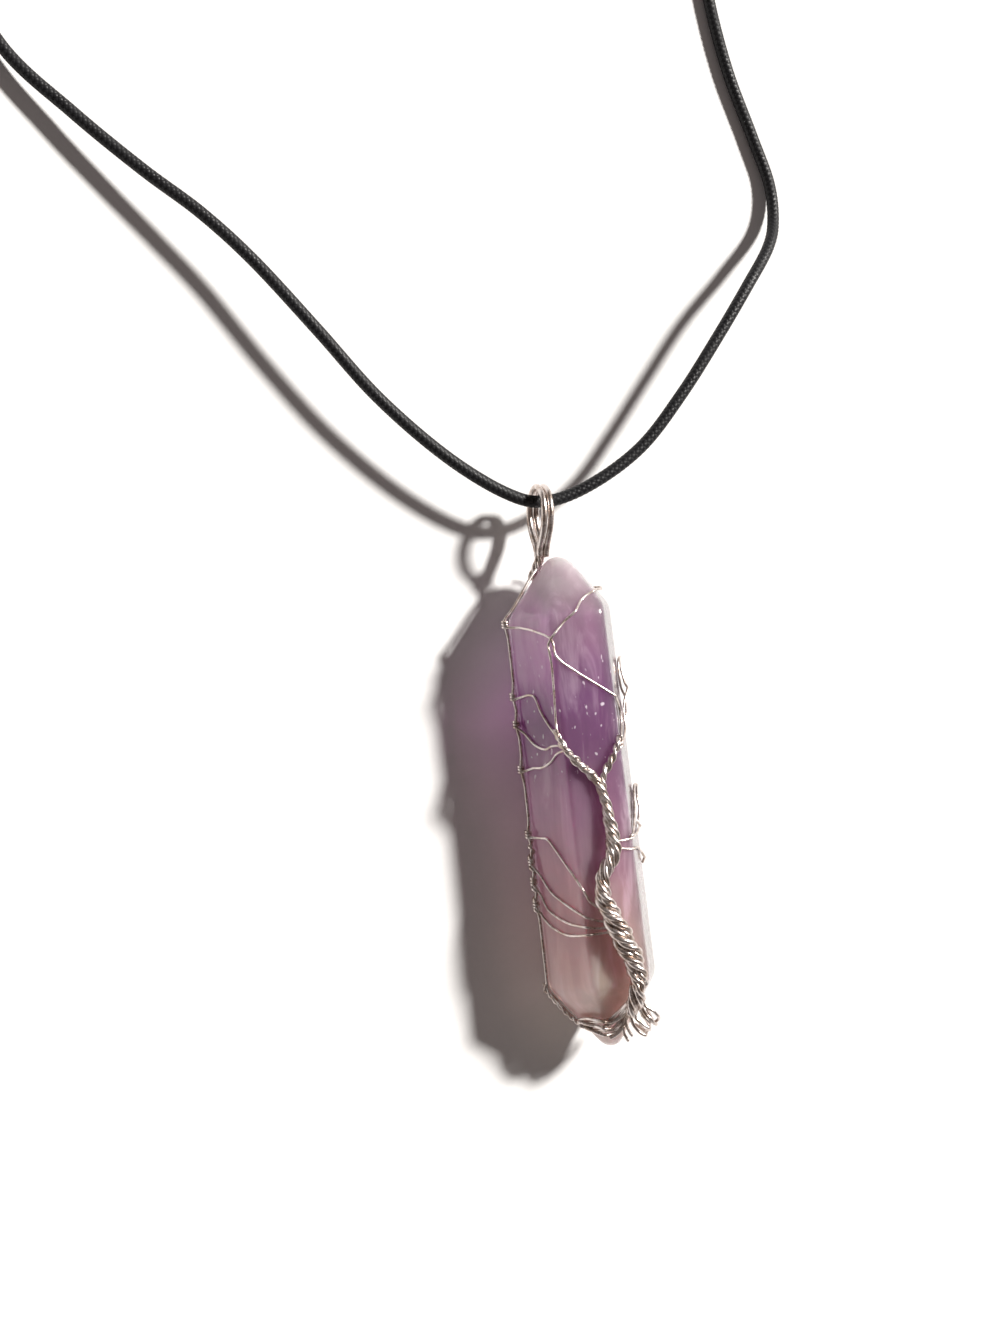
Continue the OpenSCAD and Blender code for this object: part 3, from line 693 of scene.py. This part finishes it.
# The roots: one fan of strands sweeps left over the bevel and one loops round to the right, each
# between two outer strands, and three short ones run down. Heights are 0 on the stone and 1 at
# ROOT_STAND over it.
ROOT_STAND = 3
LEFT_FAN = ([[-0.8, 0.06, 0.15], [-0.84, -0.05, 0.05], [-0.86, -0.3, 0], [-0.86, -0.6, 0],
             [-0.86, -0.95, 0], [-0.86, -1.3, 0.05]],
            [[-0.83, 0.2, 0.25], [-0.88, 0.12, 0.1], [-0.92, -0.15, 0.2], [-0.92, -0.5, 0.2],
             [-0.91, -0.85, 0.2], [-0.89, -1.2, 0.2]])
RIGHT_FAN = ([[-0.79, 0.2, 0.35], [-0.83, 0.2, 0.2], [-0.87, 0.22, 0.25], [-0.91, 0.33, 0.45],
              [-0.94, 0.5, 0.6], [-0.95, 0.8, 0.6], [-0.94, 1.05, 0.4], [-0.92, 1.3, 0.15]],
             [[-0.78, 0.26, 0.4], [-0.81, 0.35, 0.35], [-0.84, 0.48, 0.45], [-0.88, 0.65, 0.75],
              [-0.9, 0.85, 0.85], [-0.91, 1.05, 0.75], [-0.89, 1.25, 0.5], [-0.87, 1.4, 0.2]])
SHORT_ROOTS = [
    [[-0.88, 0.12, 0.2], [-0.91, 0.03, 0.25], [-0.93, -0.15, 0.3], [-0.94, -0.35, 0.3]],
    [[-0.8, 0.17, 0.3], [-0.84, 0.15, 0.15], [-0.88, 0.12, 0.2], [-0.92, 0.18, 0.4], [-0.94, 0.25, 0.5]],
    [[-0.9, 0.06, 0.25], [-0.93, 0.1, 0.3], [-0.96, 0.2, 0.45]]]
LEFT_STRANDS, RIGHT_STRANDS = 6, 5
# The strands of a fan weave a little over and under each other, each WEAVE_OFFSET of a wave on
WEAVE_SHARE, WEAVE_HEIGHT, WEAVES, WEAVE_OFFSET = 0.006, 0.05, 1.5, 0.37
# Beside the end of the left frame wire a twisted pair runs into the roots
PAIR = [[-0.7, -1.48, 0.05], [-0.74, -1.47, 0.05], [-0.78, -1.52, 0.05], [-0.82, -1.5, 0.05],
        [-0.87, -1.43, 0.05], [-0.89, -1.2, 0.1], [-0.89, -0.95, 0.1]]
PAIR_PITCH, PAIR_RING = 1.9, 0.17


def root(rows, steps):
    low = ROOT_WIRE / 2 + CLEAR
    return laid([[share, turn, low + height * ROOT_STAND] for share, turn, height in rows], steps)


def fan(first, last, strands):
    """The rows of each strand between a first and a last one, with their weave."""
    for k in range(strands):
        rows = []
        for i, (a, b) in enumerate(zip(first, last)):
            share, turn, height = (p + (q - p) * k / (strands - 1) for p, q in zip(a, b))
            wave = 2 * math.pi * (WEAVES * i / (len(first) - 1) + k * WEAVE_OFFSET)
            rows.append([share + WEAVE_SHARE * math.sin(wave), turn,
                         height + WEAVE_HEIGHT * (1 + math.cos(wave))])
        yield rows


def make_roots(silver):
    tubes = Tubes()
    roots = [*fan(*LEFT_FAN, LEFT_STRANDS), *fan(*RIGHT_FAN, RIGHT_STRANDS), *SHORT_ROOTS]
    for rows in roots:
        tubes.add(root(rows, 10), ROOT_WIRE / 2, 12)
    middle = root(PAIR, 12)
    for half in (0, math.pi):
        path = []
        run = 0
        for i, place in enumerate(middle):
            ahead = (middle[min(i + 1, len(middle) - 1)] - middle[max(i - 1, 0)]).normalized()
            side = ahead.orthogonal().normalized()
            run += (place - middle[max(i - 1, 0)]).length
            turn = half + 2 * math.pi * run / PAIR_PITCH
            path.append(place + PAIR_RING * (math.cos(turn) * side + math.sin(turn) * ahead.cross(side)))
        tubes.add(path, TWIG_WIRE / 2)
    tubes.make("roots_wire", silver, "silver_wire", "roots")


# Half of the bail's outline: share of its length, share of half its depth
BAIL_HALF = [[0, 0.18], [0.1, 0.26], [0.24, 0.56], [0.4, 0.86], [0.57, 1], [0.74, 0.95],
             [0.88, 0.72], [0.97, 0.37]]
BAIL_L, BAIL_DEPTH, BAIL_WIRE = 8.2, 5, 0.75
BAIL_X = -1.35
BAIL_LEAN = math.radians(5)

# Under the bail its four ends are twisted into a neck that runs down beside the tip
NECK = [[-1.25, 31.6, 5.85], [-1.4, 30.6, 5.8], [-1.65, 29.6, 5.6], [-2.05, 28.5, 5.2], [-2.6, 27.4, 4.8]]
NECK_WIRE, NECK_RING, NECK_PITCH, NECK_WIRES = 0.5, 0.33, 4.2, 4


def neck_wire(start):
    middle = [Vector(p) for p in smooth(NECK, 10)]
    path = []
    run = 0
    for i, place in enumerate(middle):
        ahead = (middle[min(i + 1, len(middle) - 1)] - middle[max(i - 1, 0)]).normalized()
        side = ahead.cross(Vector((0, 0, 1))).normalized()
        run += (place - middle[max(i - 1, 0)]).length
        turn = start + 2 * math.pi * run / NECK_PITCH
        path.append(place + NECK_RING * (math.cos(turn) * side + math.sin(turn) * side.cross(ahead)))
    return path


def make_bail(silver):
    half = [[0, a * BAIL_L, b * BAIL_DEPTH / 2] for a, b in BAIL_HALF]
    outline = half + [[0, BAIL_L, 0]] + [[0, y, -z] for _, y, z in reversed(half)]
    turn = Matrix.Rotation(-BAIL_LEAN, 3, "Z")
    foot = Vector((BAIL_X, HALF_L + GAP, UPPER_APOTHEM))
    tubes = Tubes()
    for side in (-1, 1):
        aside = Vector((side * (BAIL_WIRE + GAP) / 2, 0, 0))
        tubes.add([foot + turn @ (Vector(p) + aside) for p in smooth(outline, 10)], BAIL_WIRE / 2, 16)
    for k in range(NECK_WIRES):
        tubes.add(neck_wire(2 * math.pi * k / NECK_WIRES), NECK_WIRE / 2)
    tubes.make("bail_wires", silver, "silver_wire", "bail")


# The cord, along the same points as in the part, and the clasp
CORD_D = 1.5
CLASP_D, CLASP_L = 4, 19
CLASP_X, CLASP_Y = -12, 182
CLASP_END = CLASP_L / 2 + 2 * GAP
CLASP_SIDES = 64
# The braid: the length of a stitch, the stitches round the cord, their height and how far they sink
BRAID_L, BRAID_COUNT = 0.7, 6
BRAID_RELIEF, BRAID_SINK = 0.05, 0.035
CORD_ROUTE = [
    [CLASP_X - CLASP_END, CLASP_Y, CLASP_D / 2], [-25, CLASP_Y, 2], [-33, 179.5, 1.1], [-42, 174, 0.8],
    [-51, 165, 0.8], [-58, 153, 0.8], [-62, 141, 0.8], [-64, 128, 0.8], [-64, 116, 0.8], [-62, 104, 1],
    [-58, 94, 1.5], [-51, 86, 2.5], [-44, 79, 3.5], [-38, 73.5, 4.5], [-32.5, 67.5, 5],
    [-26, 59, 5.5], [-19.5, 50.5, 5.5], [-12, 43, 5.5], [-5, 38, 5.5], [0, 36.5, 5.5],
    [6, 38, 6], [13, 42, 6.5], [19, 48, 7], [25, 55, 7], [30, 61, 6.5],
    [34.5, 66, 4.5], [37, 70, 2], [37.5, 75, 1], [36, 81, 0.8], [33.5, 90, 0.8],
    [32, 100, 0.8], [31.5, 112, 0.8], [31.5, 124, 0.8], [30, 137, 0.8], [27, 150, 0.8],
    [22, 161, 0.8], [15, 171, 0.8], [8, 178, 1], [1, CLASP_Y, 2],
    [CLASP_X + CLASP_END, CLASP_Y, CLASP_D / 2]]
CORD_STEPS, RING_STEP = 30, 0.14
# Every so many rings of the cord give one point of a route along it
ROUTE_EVERY = 20


def even(path, step):
    """The same path with points a step apart, and its length."""
    path = [Vector(p) for p in path]
    runs = [0]
    for a, b in zip(path, path[1:]):
        runs.append(runs[-1] + (b - a).length)
    count = round(runs[-1] / step)
    table = np.array([list(p) for p in path])
    at = np.linspace(0, runs[-1], count + 1)
    return [Vector(p) for p in np.stack([np.interp(at, runs, table[:, k]) for k in range(3)], 1)], runs[-1]


def make_cord(material):
    path, length = even(smooth(CORD_ROUTE, CORD_STEPS), RING_STEP)

    def stitches(at, around):
        weave = math.cos(2 * math.pi * at / BRAID_L) - math.cos(2 * math.pi * around * BRAID_COUNT)
        return BRAID_RELIEF * math.sqrt(abs(weave) / 2) - BRAID_SINK

    tubes = Tubes()
    tubes.add(path, CORD_D / 2, 4 * BRAID_COUNT, round_ends=False, relief=stitches)
    cord = tubes.make("braided_cord", material, "waxed_cord", "cord")
    route = [p * MM for p in path[::ROUTE_EVERY] + [path[-1]]]
    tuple(route[0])


def make_clasp(material):
    """A turned barrel with rounded ends and two shallow grooves."""
    r = CLASP_D / 2
    outline = [(0, 1.0), (0, r - 0.5), (0.15, r - 0.2), (0.5, r), (3.0, r), (3.15, r - 0.15),
               (3.45, r - 0.15), (3.6, r), (CLASP_L / 2, r)]
    outline = outline + [(CLASP_L - a, b) for a, b in reversed(outline[:-1])]
    start = Vector((CLASP_X - CLASP_L / 2, CLASP_Y, r))
    sides = CLASP_SIDES
    points, faces = [], []
    for a, b in outline:
        for j in range(sides):
            angle = 2 * math.pi * j / sides
            points.append((start + Vector((a, b * math.cos(angle), b * math.sin(angle)))) * MM)
    for i in range(len(outline) - 1):
        for j in range(sides):
            k = (j + 1) % sides
            faces.append((i * sides + j, (i + 1) * sides + j, (i + 1) * sides + k, i * sides + k))
    faces.append(tuple(range(sides)))
    faces.append(tuple(reversed(range((len(outline) - 1) * sides, len(outline) * sides))))
    mesh = bpy.data.meshes.new("clasp_barrel")
    mesh.from_pydata(points, [], faces)
    return finish_piece("clasp_barrel", mesh, material, "clasp_metal", "clasp")


# Floor and light
FLOOR_SIZE = 20
SUN_WAY = Vector((-1.015, -0.51, -1.0))
SUN_STRENGTH = 5.8
SUN_SIZE = math.radians(7)
SUN_COLOUR = (1.0, 0.97, 0.93)
# The surroundings go from bright at the horizon to dim overhead, and are dim from SKY_FROM up
HORIZON, SKY = (0.9, 0.9, 0.9, 1), (0.125, 0.105, 0.1, 1)
SKY_FROM = 0.25


def make_floor():
    mesh = bpy.data.meshes.new("floor")
    s = FLOOR_SIZE
    mesh.from_pydata([(-s, -s, 0), (s, -s, 0), (s, s, 0), (-s, s, 0)], [], [(0, 1, 2, 3)])
    mesh.materials.append(floor_material())
    floor = bpy.data.objects.new("floor", mesh)
    bpy.context.scene.collection.objects.link(floor)


def make_light():
    data = bpy.data.lights.new("sun", "SUN")
    data.energy = SUN_STRENGTH
    data.angle = SUN_SIZE
    data.color = SUN_COLOUR
    sun = bpy.data.objects.new("sun", data)
    sun.rotation_mode = "QUATERNION"
    sun.rotation_quaternion = SUN_WAY.to_track_quat("-Z", "Y")
    bpy.context.scene.collection.objects.link(sun)
    world = bpy.data.worlds.new("studio")
    world.use_nodes = True
    tree = world.node_tree
    background = tree.nodes["Background"]
    place = tree.nodes.new("ShaderNodeTexCoord")
    apart = tree.nodes.new("ShaderNodeSeparateXYZ")
    tree.links.new(place.outputs["Generated"], apart.inputs[0])
    ramp = tree.nodes.new("ShaderNodeValToRGB")
    tree.links.new(apart.outputs[2], ramp.inputs[0])
    marks = ramp.color_ramp.elements
    marks[0].position = 0.0
    marks[0].color = HORIZON
    marks[1].position = SKY_FROM
    marks[1].color = SKY
    tree.links.new(ramp.outputs[0], background.inputs[0])
    background.inputs[1].default_value = 1.0
    bpy.context.scene.world = world
    bpy.context.scene.view_settings.view_transform = "Standard"


clasp = make_clasp(clasp_material())
make_cord(cord_material())
silver = silver_material()
make_stone(stone_material())
make_wires(silver)
make_tree(silver)
make_roots(silver)
make_bail(silver)
make_floor()
make_light()
